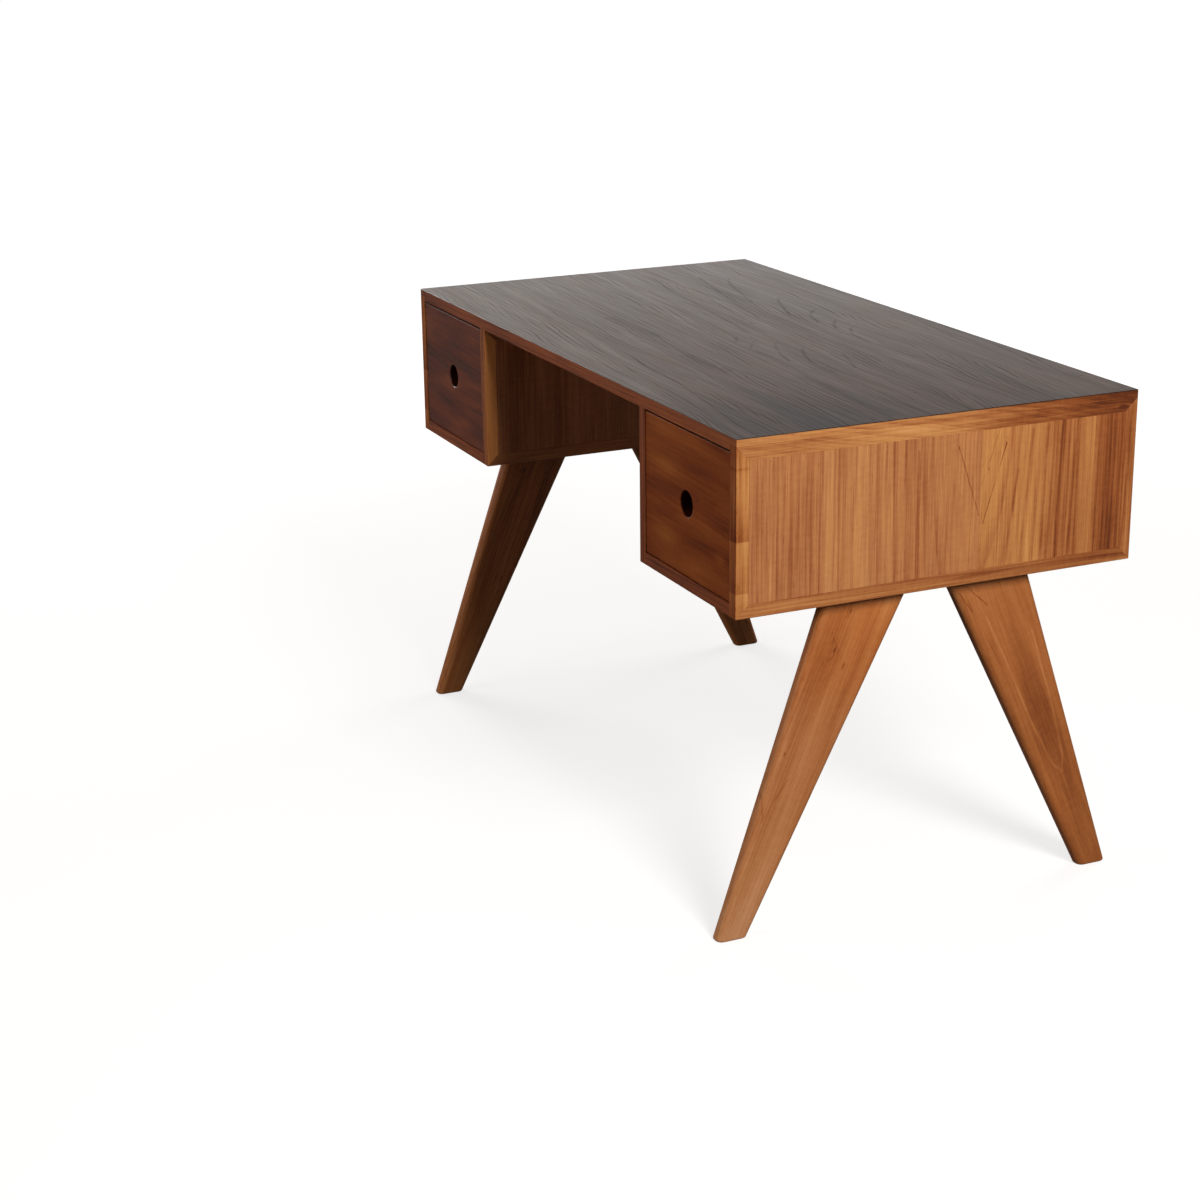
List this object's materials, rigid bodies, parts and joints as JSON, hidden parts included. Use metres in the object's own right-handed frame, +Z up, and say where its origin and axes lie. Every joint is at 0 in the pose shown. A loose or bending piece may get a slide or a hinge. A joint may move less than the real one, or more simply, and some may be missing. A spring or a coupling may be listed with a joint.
{
  "type": "office desk",
  "caption": "Wooden writing desk with a lipped top on two box pedestals, each with an inset drawer opened by a finger hole, on splayed tapered legs.",
  "frame": {"origin": "on the floor, under the middle of the desk", "axes": "+X along the desk's length to the sitter's right, +Y from the drawer fronts to the back, +Z up"},
  "size_m": [1.22, 0.6684, 0.75],
  "materials": {
    "dark_veneer": "dark stain, satin lacquer",
    "panel_veneer": "straight-grained veneer, satin lacquer",
    "lipping_wood": "solid wood, satin lacquer",
    "drawer_front_wood": "figured solid wood, satin lacquer",
    "leg_wood": "solid wood, satin lacquer",
    "inside_wood": "plain wood, waxed",
    "dowel_wood": "plain wood",
    "screw_steel": "zinc plated"
  },
  "bodies": {
    "desk": {"case_dowels": "dowel_wood", "case_screws": "screw_steel", "left_back_leg": "leg_wood", "left_back_panel": "panel_veneer", "left_bottom_lipping": "lipping_wood", "left_bottom_panel": "panel_veneer", "left_drawer_stop": "inside_wood", "left_front_leg": "leg_wood", "left_inner_back_strip": "lipping_wood", "left_inner_bottom_strip": "lipping_wood", "left_inner_front_strip": "lipping_wood", "left_inner_panel": "panel_veneer", "left_inner_runner": "inside_wood", "left_inner_top_strip": "lipping_wood", "left_outer_back_strip": "lipping_wood", "left_outer_bottom_strip": "lipping_wood", "left_outer_front_strip": "lipping_wood", "left_outer_panel": "panel_veneer", "left_outer_runner": "inside_wood", "left_outer_top_strip": "lipping_wood", "leg_screws": "screw_steel", "right_back_leg": "leg_wood", "right_back_panel": "panel_veneer", "right_bottom_lipping": "lipping_wood", "right_bottom_panel": "panel_veneer", "right_drawer_stop": "inside_wood", "right_front_leg": "leg_wood", "right_inner_back_strip": "lipping_wood", "right_inner_bottom_strip": "lipping_wood", "right_inner_front_strip": "lipping_wood", "right_inner_panel": "panel_veneer", "right_inner_runner": "inside_wood", "right_inner_top_strip": "lipping_wood", "right_outer_back_strip": "lipping_wood", "right_outer_bottom_strip": "lipping_wood", "right_outer_front_strip": "lipping_wood", "right_outer_panel": "panel_veneer", "right_outer_runner": "inside_wood", "right_outer_top_strip": "lipping_wood", "top_back_lipping": "lipping_wood", "top_board": "panel_veneer", "top_front_lipping": "lipping_wood", "top_left_lipping": "lipping_wood", "top_right_lipping": "lipping_wood", "top_veneer": "dark_veneer"},
    "left_drawer": {"left_drawer_back": "inside_wood", "left_drawer_bottom": "inside_wood", "left_drawer_front": "drawer_front_wood", "left_drawer_inner_side": "inside_wood", "left_drawer_outer_side": "inside_wood", "left_drawer_pins": "dowel_wood"},
    "right_drawer": {"right_drawer_back": "inside_wood", "right_drawer_bottom": "inside_wood", "right_drawer_front": "drawer_front_wood", "right_drawer_inner_side": "inside_wood", "right_drawer_outer_side": "inside_wood", "right_drawer_pins": "dowel_wood"}
  },
  "joints": [
    {"name": "left_drawer_slide", "type": "slide", "parent": "desk", "child": "left_drawer", "axis": [0, -1, 0], "range_m": [0, 0.42]},
    {"name": "right_drawer_slide", "type": "slide", "parent": "desk", "child": "right_drawer", "axis": [0, -1, 0], "range_m": [0, 0.42]}
  ]
}
